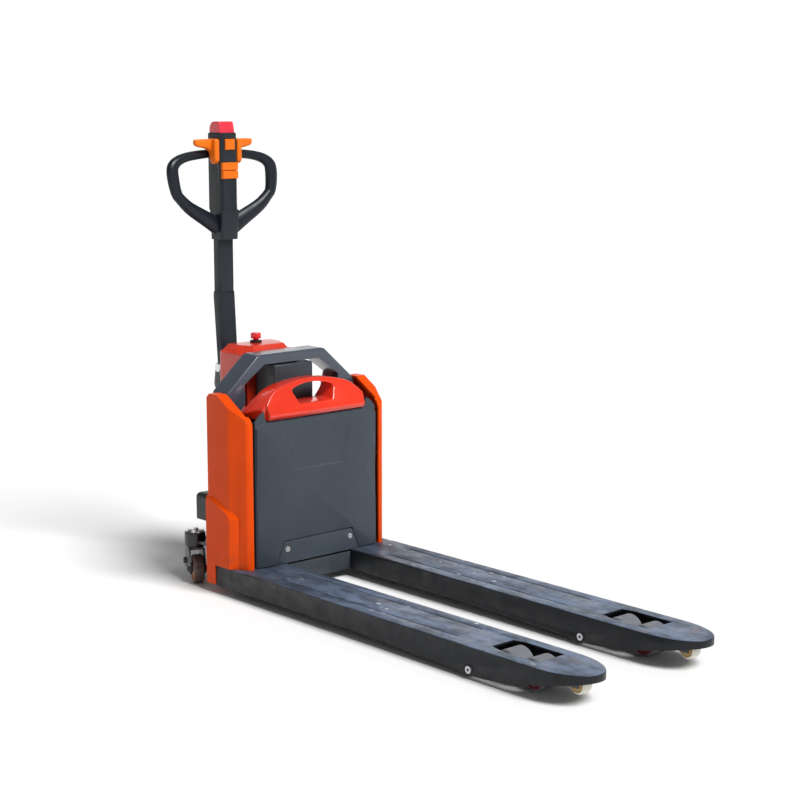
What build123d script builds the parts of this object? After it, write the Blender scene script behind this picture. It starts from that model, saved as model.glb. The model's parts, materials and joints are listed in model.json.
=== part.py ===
from build123d import *

import os
from math import cos, radians, sin

os.makedirs("parts", exist_ok=True)

# Electric pallet truck, in millimetres. +X points from the drive end to the fork tips,
# +Y to the truck's left seen from the tiller, +Z up. The floor is z = 0 and the origin is
# the middle of the truck's footprint. Lengths along the truck are given as the distance
# forward of the load face (the front of the battery housing), negative towards the tiller.

# ---------------------------------------------------------------- driving dimensions
FORK_TIP = 1240.0           # fork tips, forward of the load face
HEAD_REAR = 463.0           # back of the tiller head, behind the load face
LOAD_FACE_X = (HEAD_REAR - FORK_TIP) / 2

FORK_OVERALL = 550.0        # across both forks
FORK_WIDTH = 157.0
FORK_TOP = 82.0             # lowered height
FORK_HEEL_TOP = 80.0        # top of the heel, under the body
FORK_HEEL = -118.0
FORK_DECK_START = 8.0       # where the load-bearing deck begins, clear of the body above
FORK_WALL = 5.0
FORK_DECK = 6.0
FORK_Y = (FORK_OVERALL - FORK_WIDTH) / 2
FORK_INNER = FORK_Y - FORK_WIDTH / 2

LIFT_PIVOT = 893.6          # load bracket pivot in each fork
LIFT_PIVOT_Z = 24.6
BOGIE_AXLE = 1012.0
ROLLER_PITCH = 86.5
ROLLER_RADIUS = 40.0
ROLLER_WIDTH = 60.0
EAR_LENGTH = 35.4           # push rod pin above the pivot, and above the lever shaft
LEVER_SHAFT = -85.0

ENTRY_ROLLER = 1180.0
ENTRY_ROLLER_RADIUS = 25.0
ENTRY_ROLLER_Z = 45.0

STEER_AXIS = -270.0
DRIVE_RADIUS = 105.0
TILLER_PIVOT = -413.0
TILLER_PIVOT_Z = 578.0

CASTER_SWIVEL = -276.0
CASTER_Y = 231.0
CASTER_TRAIL = 36.0
CASTER_RADIUS = 41.0
CASTER_TURN = 27.0          # the casters rest turned outwards by this angle

PANEL_INNER = 228.0
PANEL_OUTER = 268.0
CYLINDER_AXIS = -135.0
CYLINDER_RADIUS = 20.0
RUNNING_FIT = 0.05          # radial clearance of a turning fit
SIDES = {"left": 1, "right": -1}


# ---------------------------------------------------------------- planes and solids
def side_plane(y):
    """Plane across the truck at y: local x is forward of the load face, local y is z."""
    return Plane(origin=(LOAD_FACE_X, y, 0), x_dir=(1, 0, 0), z_dir=(0, -1, 0))


def front_plane(forward):
    """Plane facing the fork tips: local x is y, local y is z."""
    return Plane(origin=(LOAD_FACE_X + forward, 0, 0), x_dir=(0, 1, 0), z_dir=(1, 0, 0))


def level(z, y=0.0):
    """Horizontal plane at z: local x is forward of the load face, local y is measured from y."""
    return Plane(origin=(LOAD_FACE_X, y, z), x_dir=(1, 0, 0), z_dir=(0, 0, 1))


def slab(forward, across, height, mode=Mode.ADD):
    """Box between limits (low, high) along the truck, across it and in height."""
    with BuildSketch(level(height[0])) as plan:
        with Locations(((forward[0] + forward[1]) / 2, (across[0] + across[1]) / 2)):
            Rectangle(forward[1] - forward[0], across[1] - across[0])
    extrude(plan.sketch, amount=height[1] - height[0], dir=(0, 0, 1), mode=mode)


def post(forward, y, radius, bottom, top, mode=Mode.ADD):
    """Upright round bar, or a bore when it is subtracted."""
    with BuildSketch(level(bottom)) as plan:
        with Locations((forward, y)):
            Circle(radius)
    extrude(plan.sketch, amount=top - bottom, dir=(0, 0, 1), mode=mode)


def cross_bar(forward, z, radius, y0, y1, mode=Mode.ADD):
    """Round bar across the truck from y0 up to y1, or a bore when it is subtracted."""
    with BuildSketch(side_plane(y0)) as section:
        with Locations((forward, z)):
            Circle(radius)
    extrude(section.sketch, amount=y1 - y0, dir=(0, 1, 0), mode=mode)


def side_shape(points, y0, y1, mode=Mode.ADD):
    """Outline seen from the side, (forward, z) points, carried across from y0 up to y1."""
    with BuildSketch(side_plane(y0)) as section:
        with BuildLine():
            Polyline(*points, close=True)
        make_face()
    extrude(section.sketch, amount=y1 - y0, dir=(0, 1, 0), mode=mode)


def front_shape(points, back, front, mode=Mode.ADD):
    """Outline seen from the fork tips, (y, z) points, carried from back to front."""
    with BuildSketch(front_plane(back)) as section:
        with BuildLine():
            Polyline(*points, close=True)
        make_face()
    extrude(section.sketch, amount=front - back, dir=(1, 0, 0), mode=mode)


def plan_shape(points, bottom, top, mode=Mode.ADD):
    """Outline seen from above, (forward, y) points, carried from bottom to top."""
    with BuildSketch(level(bottom)) as plan:
        with BuildLine():
            Polyline(*points, close=True)
        make_face()
    extrude(plan.sketch, amount=top - bottom, dir=(0, 0, 1), mode=mode)


def link_plate(ends, y0, y1, mode=Mode.ADD):
    """Plate round two circles (forward, z, radius), carried across from y0 up to y1."""
    with BuildSketch(side_plane(y0)) as section:
        for forward, z, radius in ends:
            with Locations((forward, z)):
                Circle(radius)
        make_hull()
    extrude(section.sketch, amount=y1 - y0, dir=(0, 1, 0), mode=mode)


def mirrored(points):
    """Right half outline closed over the middle plane: (y, z) points, then their mirror."""
    return list(points) + [(-y, z) for y, z in reversed(points)]


def mirrored_plan(points):
    """Half outline seen from above closed over the middle line: (forward, y) points."""
    return list(points) + [(forward, -y) for forward, y in reversed(points)]


def hand_in(part, name):
    """Labels a finished piece and writes its file."""
    part.label = name
    export_step(part, f"parts/{name}.step")


# ---------------------------------------------------------------- forks
GROOVE_START = 120.0
GROOVE_END = 817.0
GROOVE_Y = 42.0
GROOVE_WIDTH = 5.0
GROOVE_DEPTH = 1.2
SLOT_REAR = 928.0
SLOT_FRONT = 1088.0
SLOT_HALF = 45.0


def fork(y):
    """Inverted steel channel with a solid rounded tip, a roller slot and two grooves."""
    half = FORK_WIDTH / 2
    with BuildPart() as body:
        with BuildSketch(level(0, y)) as plan:
            with BuildLine():
                Polyline((1095, -half), (FORK_HEEL, -half), (FORK_HEEL, half), (1095, half))
                Bezier((1095, half), (1180, half), (FORK_TIP, 46), (FORK_TIP, 0))
                Bezier((FORK_TIP, 0), (FORK_TIP, -46), (1180, -half), (1095, -half))
            make_face()
        extrude(plan.sketch, amount=FORK_TOP, dir=(0, 0, 1))
        top_edges = body.faces().sort_by(Axis.Z)[-1].edges()
        fillet(top_edges, radius=4)
        inner = half - FORK_WALL
        heel_end = FORK_HEEL + FORK_WALL
        channel = [(heel_end, inner), (1095, inner), (1140, 69), (1190, 54), (1212, 38)]
        with BuildSketch(level(0, y)) as hollow:
            with BuildLine():
                Polyline(*mirrored_plan(channel), close=True)
            make_face()
        extrude(hollow.sketch, amount=FORK_TOP - FORK_DECK, dir=(0, 0, 1), mode=Mode.SUBTRACT)
        belly = [
            (FORK_HEEL - 1, -1),
            (FORK_HEEL - 1, 23.5),
            (450, 23.5),
            (851, 14),
            (861, 10.3),
            (930, 11.5),
            (997, 17),
            (1057, 23.5),
            (1092, 36),
            (1165, 50),
            (1205, 57),
            (FORK_TIP + 1, 62),
            (FORK_TIP + 1, -1),
        ]
        side_shape(belly, y - half - 1, y + half + 1, mode=Mode.SUBTRACT)
        heel_length = (FORK_HEEL - 1, FORK_DECK_START)
        heel = (heel_length, (y - half - 1, y + half + 1), (FORK_HEEL_TOP, FORK_TOP + 1))
        slab(*heel, mode=Mode.SUBTRACT)
        slot = [
            (SLOT_REAR, y - 36),
            (SLOT_REAR, y + 36),
            (961, y + SLOT_HALF),
            (SLOT_FRONT, y + SLOT_HALF),
            (SLOT_FRONT, y - SLOT_HALF),
            (961, y - SLOT_HALF),
        ]
        plan_shape(slot, 60, FORK_TOP + 1, mode=Mode.SUBTRACT)
        groove_floor = FORK_TOP - GROOVE_DEPTH
        for offset in (-GROOVE_Y, GROOVE_Y):
            with BuildSketch(level(groove_floor)) as groove:
                with Locations(((GROOVE_START + GROOVE_END) / 2, y + offset)):
                    SlotOverall(GROOVE_END - GROOVE_START, GROOVE_WIDTH)
                with Locations((GROOVE_START + 4, y + offset - 6)):
                    SlotOverall(16, GROOVE_WIDTH, rotation=60)
            cut_depth = GROOVE_DEPTH + 1
            extrude(groove.sketch, amount=cut_depth, dir=(0, 0, 1), mode=Mode.SUBTRACT)
        pin_bore = (LIFT_PIVOT, LIFT_PIVOT_Z, 8 + RUNNING_FIT)
        cross_bar(*pin_bore, y - half - 1, y + half + 1, mode=Mode.SUBTRACT)
        wall_y = y - half if y > 0 else y + half
        cross_bar(LEVER_SHAFT, LIFT_PIVOT_Z, 12.5, wall_y - 6, wall_y + 6, mode=Mode.SUBTRACT)
    return body.part


# ---------------------------------------------------------------- lifting linkage
BRACKET_INNER = 37.0
BRACKET_OUTER = 42.0
BOGIE_INNER = 31.5
BOGIE_OUTER = 35.5
EAR_INNER = 9.5
EAR_OUTER = 14.5
ROD_HALF_WIDTH = 8.0
PUSH_ROD_RADIUS = 7.0
ROD_CLEARANCE = 9.3         # half width of the gap in the sleeve under the push rod
BOGIE_PIN_RADIUS = 7.0
ROD_PIN_RADIUS = 6.0
ROLLER_PIN_RADIUS = 8.0


def load_bracket(y):
    """Swing arm that presses the rollers down: two plates, a pivot sleeve and two ears."""
    ear_z = LIFT_PIVOT_Z + EAR_LENGTH
    with BuildPart() as body:
        cross_bar(LIFT_PIVOT, LIFT_PIVOT_Z, 13.5, y - BRACKET_OUTER, y + BRACKET_OUTER)
        for side in (-1, 1):
            plate = sorted((y + side * BRACKET_INNER, y + side * BRACKET_OUTER))
            ends = ((LIFT_PIVOT, LIFT_PIVOT_Z, 14), (BOGIE_AXLE, ROLLER_RADIUS, 12.5))
            link_plate(ends, *plate)
            stub = sorted((y + side * BOGIE_INNER, y + side * BRACKET_OUTER))
            cross_bar(BOGIE_AXLE, ROLLER_RADIUS, BOGIE_PIN_RADIUS, *stub)
            ear = sorted((y + side * EAR_INNER, y + side * EAR_OUTER))
            link_plate(((LIFT_PIVOT, LIFT_PIVOT_Z, 12), (LIFT_PIVOT, ear_z, 10)), *ear)
        cross_bar(LIFT_PIVOT, ear_z, ROD_PIN_RADIUS, y - EAR_OUTER, y + EAR_OUTER)
        bore = (LIFT_PIVOT, LIFT_PIVOT_Z, 8 + RUNNING_FIT, y - BRACKET_OUTER, y + BRACKET_OUTER)
        cross_bar(*bore, mode=Mode.SUBTRACT)
        sleeve_gap = ((LIFT_PIVOT - 15, LIFT_PIVOT + 15), (y - ROD_CLEARANCE, y + ROD_CLEARANCE))
        slab(*sleeve_gap, (LIFT_PIVOT_Z - 15, LIFT_PIVOT_Z + 15), mode=Mode.SUBTRACT)
    return body.part


def bogie(y):
    """Level carrier of the two load rollers, hung between the bracket's stub pins."""
    rollers = (BOGIE_AXLE - ROLLER_PITCH / 2, BOGIE_AXLE + ROLLER_PITCH / 2)
    with BuildPart() as body:
        for side in (-1, 1):
            plate = sorted((y + side * BOGIE_INNER, y + side * BOGIE_OUTER))
            link_plate([(forward, ROLLER_RADIUS, 12) for forward in rollers], *plate)
        for forward in rollers:
            cross_bar(forward, ROLLER_RADIUS, ROLLER_PIN_RADIUS, y - BOGIE_OUTER, y + BOGIE_OUTER)
        for side in (-1, 1):
            plate = sorted((y + side * BOGIE_INNER, y + side * BOGIE_OUTER))
            bore_radius = BOGIE_PIN_RADIUS + RUNNING_FIT
            cross_bar(BOGIE_AXLE, ROLLER_RADIUS, bore_radius, *plate, mode=Mode.SUBTRACT)
    return body.part


def wheel(forward, y, z, radius, width, bore, crown, recess):
    """Solid wheel turning about Y with a crowned tread and dished faces."""
    half = width / 2
    section_plane = Plane(
        origin=(LOAD_FACE_X + forward, y, z), x_dir=(0, 1, 0), z_dir=(1, 0, 0)
    )
    with BuildPart() as body:
        with BuildSketch(section_plane) as section:
            with BuildLine():
                Polyline(
                    (-half, bore),
                    (-half, bore + 5),
                    (-half + recess, bore + 6),
                    (-half + recess, radius * 0.74),
                    (-half, radius * 0.78),
                    (-half, radius - crown),
                    (-half + crown, radius),
                    (half - crown, radius),
                    (half, radius - crown),
                    (half, radius * 0.78),
                    (half - recess, radius * 0.74),
                    (half - recess, bore + 6),
                    (half, bore + 5),
                    (half, bore),
                    close=True,
                )
            make_face()
        revolve(section.sketch, axis=Axis((LOAD_FACE_X + forward, y, z), (0, 1, 0)))
    return body.part


def push_rod(y):
    """Rod in the fork from the lever to the load bracket, with an eye at each end."""
    z = LIFT_PIVOT_Z + EAR_LENGTH
    with BuildPart() as body:
        for forward in (LEVER_SHAFT, LIFT_PIVOT):
            cross_bar(forward, z, 11, y - ROD_HALF_WIDTH, y + ROD_HALF_WIDTH)
        with BuildSketch(front_plane(LEVER_SHAFT)) as section:
            with Locations((y, z)):
                Circle(PUSH_ROD_RADIUS)
        extrude(section.sketch, amount=LIFT_PIVOT - LEVER_SHAFT)
        eye = (y - ROD_HALF_WIDTH, y + ROD_HALF_WIDTH)
        front_bore = ROD_PIN_RADIUS + RUNNING_FIT
        cross_bar(LIFT_PIVOT, z, front_bore, *eye, mode=Mode.SUBTRACT)
        cross_bar(LEVER_SHAFT, z, ROD_PIN_RADIUS + 0.5, *eye, mode=Mode.SUBTRACT)
    return body.part


with BuildPart() as lever_shaft:
    cross_bar(LEVER_SHAFT, LIFT_PIVOT_Z, 11, -FORK_Y - 17, FORK_Y + 17)
    lever_z = LIFT_PIVOT_Z + EAR_LENGTH
    for lever_y in (-FORK_Y, FORK_Y):
        for lever_side in (-1, 1):
            lever_ear = sorted((lever_y + lever_side * EAR_INNER, lever_y + lever_side * EAR_OUTER))
            link_plate(((LEVER_SHAFT, LIFT_PIVOT_Z, 15), (LEVER_SHAFT, lever_z, 10)), *lever_ear)
        cross_bar(LEVER_SHAFT, lever_z, ROD_PIN_RADIUS, lever_y - EAR_OUTER, lever_y + EAR_OUTER)

with BuildPart() as fork_pins:
    for pin_y in (-FORK_Y, FORK_Y):
        pin_half = FORK_WIDTH / 2
        cross_bar(LIFT_PIVOT, LIFT_PIVOT_Z, 8, pin_y - pin_half, pin_y + pin_half)
        for head_start, head_end in ((-pin_half - 4, -pin_half), (pin_half, pin_half + 4)):
            cross_bar(LIFT_PIVOT, LIFT_PIVOT_Z, 9.5, pin_y + head_start, pin_y + head_end)

with BuildPart() as entry_axles:
    for axle_y in (-FORK_Y, FORK_Y):
        cross_bar(ENTRY_ROLLER, ENTRY_ROLLER_Z, 6, axle_y - 25, axle_y + 25)
        for cheek in (-25, 20):
            cheek_low = axle_y + cheek
            slab((1166, 1194), (cheek_low, cheek_low + 5), (40, FORK_TOP - FORK_DECK))

hand_in(lever_shaft.part, "lever_shaft")
hand_in(fork_pins.part, "fork_pins")
hand_in(entry_axles.part, "entry_axles")
for side_name, sign in SIDES.items():
    fork_y = sign * FORK_Y
    hand_in(fork(fork_y), f"fork_{side_name}")
    hand_in(load_bracket(fork_y), f"load_bracket_{side_name}")
    hand_in(bogie(fork_y), f"bogie_{side_name}")
    hand_in(push_rod(fork_y), f"push_rod_{side_name}")
    for place, step in (("rear", -0.5), ("front", 0.5)):
        roller = wheel(
            BOGIE_AXLE + step * ROLLER_PITCH,
            fork_y,
            ROLLER_RADIUS,
            ROLLER_RADIUS,
            ROLLER_WIDTH,
            ROLLER_PIN_RADIUS + RUNNING_FIT,
            crown=2.5,
            recess=3,
        )
        hand_in(roller, f"load_roller_{side_name}_{place}")
    entry = wheel(
        ENTRY_ROLLER,
        fork_y,
        ENTRY_ROLLER_Z,
        ENTRY_ROLLER_RADIUS,
        30,
        6 + RUNNING_FIT,
        crown=4,
        recess=1.5,
    )
    hand_in(entry, f"entry_roller_{side_name}")


# ---------------------------------------------------------------- lifting chassis
BEAM_BACK = -62.0
PLATE_BACK = -106.0
PLATE_FRONT = -100.0
MAST_BACK = -190.0
MAST_HALF = 68.0
MAST_TOP = 622.0
MAST_WALL = 6.0
ROD_RADIUS = 11.0

with BuildPart() as chassis_frame:
    slab((BEAM_BACK, -1), (-FORK_INNER, FORK_INNER), (24, 75))
    slab((BEAM_BACK + 6, -7), (-FORK_INNER + 6, FORK_INNER - 6), (30, 69), mode=Mode.SUBTRACT)
    slab((PLATE_BACK, PLATE_FRONT), (-FORK_INNER, FORK_INNER), (24, FORK_HEEL_TOP))
    slab((PLATE_BACK, PLATE_FRONT), (-PANEL_INNER, PANEL_INNER), (FORK_HEEL_TOP, 500))
    for web in (-FORK_INNER + 8, FORK_INNER - 14):
        slab((PLATE_FRONT, BEAM_BACK), (web, web + 6), (8, 75))
        cross_bar(LEVER_SHAFT, LIFT_PIVOT_Z, 11 + RUNNING_FIT, web, web + 6, mode=Mode.SUBTRACT)
    slab((MAST_BACK, PLATE_BACK), (-MAST_HALF, MAST_HALF), (300, MAST_TOP))
    mast_inside = (
        (MAST_BACK + MAST_WALL, PLATE_BACK - MAST_WALL),
        (-MAST_HALF + MAST_WALL, MAST_HALF - MAST_WALL),
        (299, MAST_TOP - MAST_WALL),
    )
    slab(*mast_inside, mode=Mode.SUBTRACT)
    mast_edges = chassis_frame.edges().filter_by(Axis.Y).group_by(Axis.Z)[-1]
    chamfer(mast_edges, length=4)

with BuildPart() as lift_rod:
    post(CYLINDER_AXIS, 0, ROD_RADIUS, 130, 596)
    post(CYLINDER_AXIS, 0, 21, 596, MAST_TOP - MAST_WALL)

FRAME_FRONT = -115.0
FRAME_BACK = -185.0
FRAME_LEG_OUTER = 232.0
FRAME_LEG_INNER = 190.0
frame_outer = [
    (FRAME_LEG_OUTER, 270),
    (FRAME_LEG_OUTER, 540),
    (226, 560),
    (122, 652),
    (112, 655),
]
frame_inner = [
    (FRAME_LEG_INNER, 269),
    (FRAME_LEG_INNER, 500),
    (168, 520),
    (165, 545),
    (172, 574),
    (98, 627),
]

with BuildPart() as guard_frame:
    front_shape(mirrored(frame_outer), FRAME_BACK, FRAME_FRONT)
    hoop_edges = guard_frame.edges().filter_by(Axis.X).group_by(Axis.Z)[1:]
    fillet(hoop_edges[0] + hoop_edges[1] + hoop_edges[2] + hoop_edges[3], radius=9)
    rim = guard_frame.faces().filter_by(Axis.X)
    fillet(rim.sort_by(Axis.X)[-1].edges() + rim.sort_by(Axis.X)[0].edges(), radius=5)
    front_shape(mirrored(frame_inner), FRAME_BACK - 1, FRAME_FRONT + 1, mode=Mode.SUBTRACT)
    for leg in ((-FRAME_LEG_OUTER, -FRAME_LEG_INNER), (FRAME_LEG_INNER, FRAME_LEG_OUTER)):
        slab((-150, PLATE_BACK), leg, (FORK_HEEL_TOP, 495))

PANEL_WALL = 6.0
PANEL_REAR = -168.0
PANEL_FRONT = -3.0
PANEL_TOP = 560.0
panel_outline = [
    (PANEL_REAR, 24),
    (FORK_HEEL, 24),
    (FORK_HEEL, FORK_HEEL_TOP + 0.5),
    (PANEL_FRONT, FORK_HEEL_TOP + 0.5),
    (PANEL_FRONT, 484),
    (-11, 500),
    (-110, PANEL_TOP),
    (-146, PANEL_TOP),
    (PANEL_REAR, 540),
]
pocket_outline = [
    (PANEL_REAR + PANEL_WALL, 90),
    (PANEL_FRONT - PANEL_WALL, 90),
    (PANEL_FRONT - PANEL_WALL, 480),
    (-16, 493),
    (-112, 552),
    (-143, 552),
    (PANEL_REAR + PANEL_WALL, 538),
]
panel_section = [
    (PANEL_REAR, 235),
    (PANEL_REAR, 258),
    (-158, PANEL_OUTER),
    (-62, PANEL_OUTER),
    (-36, 257),
    (-9, 247),
    (PANEL_FRONT, 240),
    (PANEL_FRONT, PANEL_INNER),
    (-22, PANEL_INNER),
    (-22, 235),
]
pocket_section = [
    (PANEL_REAR + PANEL_WALL, 220),
    (PANEL_REAR + PANEL_WALL, 255),
    (-156, PANEL_OUTER - PANEL_WALL),
    (-63, PANEL_OUTER - PANEL_WALL),
    (-38, 251),
    (-11, 241),
    (PANEL_FRONT - PANEL_WALL, 238),
    (PANEL_FRONT - PANEL_WALL, 220),
]
BULGE_BASE = 257.0
BULGE_HEIGHT = 20.0
BULGE_TAPER = 42.0
bulge_outline = [(-176, 0), (-176, 276), (-134, 283), (-52, 250), (-31, 222), (-36, 60), (-36, 0)]


def sided(points, sign):
    """Plan points (forward, y) carried to one side of the truck."""
    return [(forward, sign * y) for forward, y in points]


def panel(sign):
    """Pressed side cover with a raised foot, open towards the chassis."""
    across = sorted((sign * (PANEL_INNER - 20), sign * (PANEL_OUTER + 20)))
    with BuildPart() as pocket:
        side_shape(pocket_outline, *across)
        plan_shape(sided(pocket_section, sign), 0, PANEL_TOP, mode=Mode.INTERSECT)
    bulge_plane = Plane(
        origin=(LOAD_FACE_X, sign * BULGE_BASE, 0), x_dir=(1, 0, 0), z_dir=(0, -1, 0)
    )
    with BuildPart() as bulge:
        with BuildSketch(bulge_plane) as foot:
            with BuildLine():
                Polyline(*bulge_outline, close=True)
            make_face()
        extrude(foot.sketch, amount=-sign * BULGE_HEIGHT, taper=BULGE_TAPER)
        side_shape(panel_outline, *across, mode=Mode.INTERSECT)
    with BuildPart() as body:
        side_shape(panel_outline, *across)
        plan_shape(sided(panel_section, sign), 0, PANEL_TOP + 1, mode=Mode.INTERSECT)
        add(bulge.part)
        add(pocket.part, mode=Mode.SUBTRACT)
    return body.part


hand_in(chassis_frame.part, "chassis_frame")
hand_in(lift_rod.part, "lift_rod")
hand_in(guard_frame.part, "guard_frame")
for side_name, sign in SIDES.items():
    hand_in(panel(sign), f"panel_{side_name}")


# ---------------------------------------------------------------- battery and its housing
HOUSING_BOTTOM = 80.0
HOUSING_HALF = 217.0
HOUSING_SKIN_BACK = -14.0
HOUSING_SKIN_FRONT = -7.0
housing_outline = [
    (HOUSING_HALF, HOUSING_BOTTOM),
    (HOUSING_HALF, 489),
    (200, 508),
    (184, 517),
    (182, 500),
    (176, 488),
]
raised_face = [(216, HOUSING_BOTTOM + 1), (216, 474), (196, 485), (176, 486)]
cover_half = ((149, HOUSING_BOTTOM + 0.5), (123, 143))
recess_half = ((151, HOUSING_BOTTOM - 1), (125, 145.5))

BADGE_DEPTH = 3.0
badge_rim = [(92, 341), (132, 487)]
badge_floor = [(88, 345), (127, 484)]
DENT_DEPTH = 4.0
dent_rim = [(224, 401), (163, 339), (205, 188), (224, 150)]
dent_floor = [(222, 306), (219, 300), (220, 294), (222, 292)]


with BuildPart() as badge_field:
    for badge_outline, badge_forward in ((badge_rim, 0), (badge_floor, -BADGE_DEPTH)):
        with BuildSketch(front_plane(badge_forward)):
            with BuildLine():
                Polyline(*mirrored(badge_outline), close=True)
            make_face()
    loft(ruled=True)


def dent(sign):
    """Shallow hand recess that breaks out through one side of the housing."""
    with BuildPart() as hollow:
        for dent_outline, dent_forward in ((dent_rim, 0), (dent_floor, -DENT_DEPTH)):
            with BuildSketch(front_plane(dent_forward)):
                with BuildLine():
                    Polyline(*[(sign * y, z) for y, z in dent_outline], close=True)
                make_face()
        loft(ruled=True)
    return hollow.part


with BuildPart() as battery_housing:
    front_shape(mirrored(housing_outline), HOUSING_SKIN_BACK, HOUSING_SKIN_FRONT)
    with BuildSketch(front_plane(HOUSING_SKIN_FRONT)) as raised:
        with BuildLine():
            Polyline(*mirrored(raised_face), close=True)
        make_face()
    extrude(raised.sketch, amount=-HOUSING_SKIN_FRONT, taper=15)
    for wall in ((-HOUSING_HALF, -HOUSING_HALF + 8), (HOUSING_HALF - 8, HOUSING_HALF)):
        slab((PLATE_FRONT, HOUSING_SKIN_BACK), wall, (HOUSING_BOTTOM, 486))
    floor_limits = ((PLATE_FRONT, HOUSING_SKIN_BACK), (-HOUSING_HALF, HOUSING_HALF))
    slab(*floor_limits, (HOUSING_BOTTOM, HOUSING_BOTTOM + 6))
    add(badge_field.part, mode=Mode.SUBTRACT)
    for sign in SIDES.values():
        add(dent(sign), mode=Mode.SUBTRACT)
    front_shape(mirrored(recess_half), -8, 1, mode=Mode.SUBTRACT)

with BuildPart() as access_cover:
    front_shape(mirrored(cover_half), -8, 0.5)
    fillet(access_cover.edges().filter_by(Axis.X).group_by(Axis.Z)[-1], radius=9)
    chamfer(access_cover.faces().sort_by(Axis.X)[-1].edges(), length=1)

with BuildPart() as cover_bolts:
    for bolt_y in (-114, 114):
        with BuildSketch(front_plane(0.5)) as bolt:
            with Locations((bolt_y, 121)):
                Circle(8)
        extrude(bolt.sketch, amount=2)
        with BuildSketch(front_plane(2.5)) as dome:
            with Locations((bolt_y, 121)):
                Circle(5.5)
        extrude(dome.sketch, amount=2.5, taper=25)

CASE_TOP = 490.0
with BuildPart() as battery_case:
    slab((-97, -18), (-208, 208), (HOUSING_BOTTOM + 7, CASE_TOP - 6))
    fillet(battery_case.edges().filter_by(Axis.Z), radius=8)
    slab((-92, -24), (-170, 170), (CASE_TOP - 6, CASE_TOP))

handle_outline = [(190, CASE_TOP), (199, 499), (199, 507), (160, 548), (141, 564), (120, 573)]
handle_side = [
    (-95, CASE_TOP - 1),
    (-92, 515),
    (-80, 545),
    (-72, 600),
    (-34, 600),
    (-20, 560),
    (4, 507),
    (5, 500),
    (-3, CASE_TOP - 1),
]
handle_plan = [(6, 171), (-15, 174), (-17, 181), (-72, 199), (-96, 199)]
with BuildPart() as battery_handle:
    with BuildSketch(front_plane(-92)) as handle_face:
        with BuildLine():
            Polyline(*reversed(handle_outline))
            Polyline(handle_outline[0], (-handle_outline[0][0], CASE_TOP))
            Polyline(*[(-y, z) for y, z in handle_outline])
            ThreePointArc((-120, 573), (0, 590), (120, 573))
        make_face()
    extrude(handle_face.sketch, amount=97)
    side_shape(handle_side, -200, 200, mode=Mode.INTERSECT)
    plan_shape(mirrored_plan(handle_plan), CASE_TOP - 1, 600, mode=Mode.INTERSECT)
    with BuildSketch(front_plane(-100)) as grip_slot:
        with BuildLine():
            Polyline((-76, 564), (-58, 525), (58, 525), (76, 564))
            ThreePointArc((-76, 564), (0, 579), (76, 564))
        make_face()
        fillet(grip_slot.vertices(), radius=8)
    extrude(grip_slot.sketch, amount=120, mode=Mode.SUBTRACT)

hand_in(battery_housing.part, "battery_housing")
hand_in(access_cover.part, "access_cover")
hand_in(cover_bolts.part, "cover_bolts")
hand_in(battery_case.part, "battery_case")
hand_in(battery_handle.part, "battery_handle")


# ---------------------------------------------------------------- drive-unit frame
BASE_PLATE_BOTTOM = 262.0
BASE_PLATE_TOP = 272.0
BASE_PLATE_RADIUS = 124.0
NECK_RADIUS = 55.0
SIDE_PLATE = (190.0, 200.0)
WING_BOTTOM = 112.0
WING_TOP = 122.0
HOUSING_RADIUS = 30.0
CASTER_HOUSING_BOTTOM = 101.0
CASTER_HOUSING_TOP = 141.0
CASTER_STEM_RADIUS = 10.0
CASTER_STEM_TOP = 134.0
YOKE_TOP = 97.0

with BuildPart() as base_frame:
    post(STEER_AXIS, 0, BASE_PLATE_RADIUS, BASE_PLATE_BOTTOM, BASE_PLATE_TOP)
    slab((-232, -192), (-SIDE_PLATE[1], SIDE_PLATE[1]), (BASE_PLATE_BOTTOM, BASE_PLATE_TOP))
    slab((-192, -109), (-160, 160), (BASE_PLATE_BOTTOM, BASE_PLATE_TOP))
    for sign in SIDES.values():
        plate_low, plate_high = sorted(sign * edge for edge in SIDE_PLATE)
        slab((-232, -192), (plate_low, plate_high), (WING_BOTTOM, BASE_PLATE_TOP))
        rib = sorted((sign * 128, sign * SIDE_PLATE[0]))
        slab((-198, -192), rib, (205, BASE_PLATE_BOTTOM))
        wing = sorted((sign * SIDE_PLATE[0], sign * (CASTER_Y + 12)))
        slab((CASTER_SWIVEL - 18, -192), wing, (WING_BOTTOM, WING_TOP))
        post(CASTER_SWIVEL, sign * CASTER_Y, HOUSING_RADIUS, 80, 150, mode=Mode.SUBTRACT)
    post(STEER_AXIS, 0, NECK_RADIUS + RUNNING_FIT, 250, 280, mode=Mode.SUBTRACT)
    post(CYLINDER_AXIS, 0, CYLINDER_RADIUS, 250, 280, mode=Mode.SUBTRACT)

with BuildPart() as lift_cylinder:
    post(CYLINDER_AXIS, 0, CYLINDER_RADIUS, 90, 495)
    post(CYLINDER_AXIS, 0, CYLINDER_RADIUS + 6, BASE_PLATE_TOP, BASE_PLATE_TOP + 10)
    post(CYLINDER_AXIS, 0, ROD_RADIUS + RUNNING_FIT, 110, 501, mode=Mode.SUBTRACT)

with BuildPart() as pump_unit:
    slab((-184, -122), (-156, -96), (BASE_PLATE_TOP, 300))
    slab((-180, -126), (-154, -90), (300, 345))
    post(-153, -119, 26, 345, 440)
    post(-153, -119, 10, 440, 448)

with BuildPart() as controller:
    slab((-182, -124), (82, 156), (BASE_PLATE_TOP, 420))
    for fin_y in range(88, 152, 10):
        slab((-178, -128), (fin_y, fin_y + 4), (420, 432))

TOWER_FRONT = -200.0
TOWER_BACK = -330.0
TOWER_HALF = 100.0
TOWER_TOP = 645.0
LID_TOP = 664.0
ESTOP = -280.0
ESTOP_RADIUS = 15.0

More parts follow.
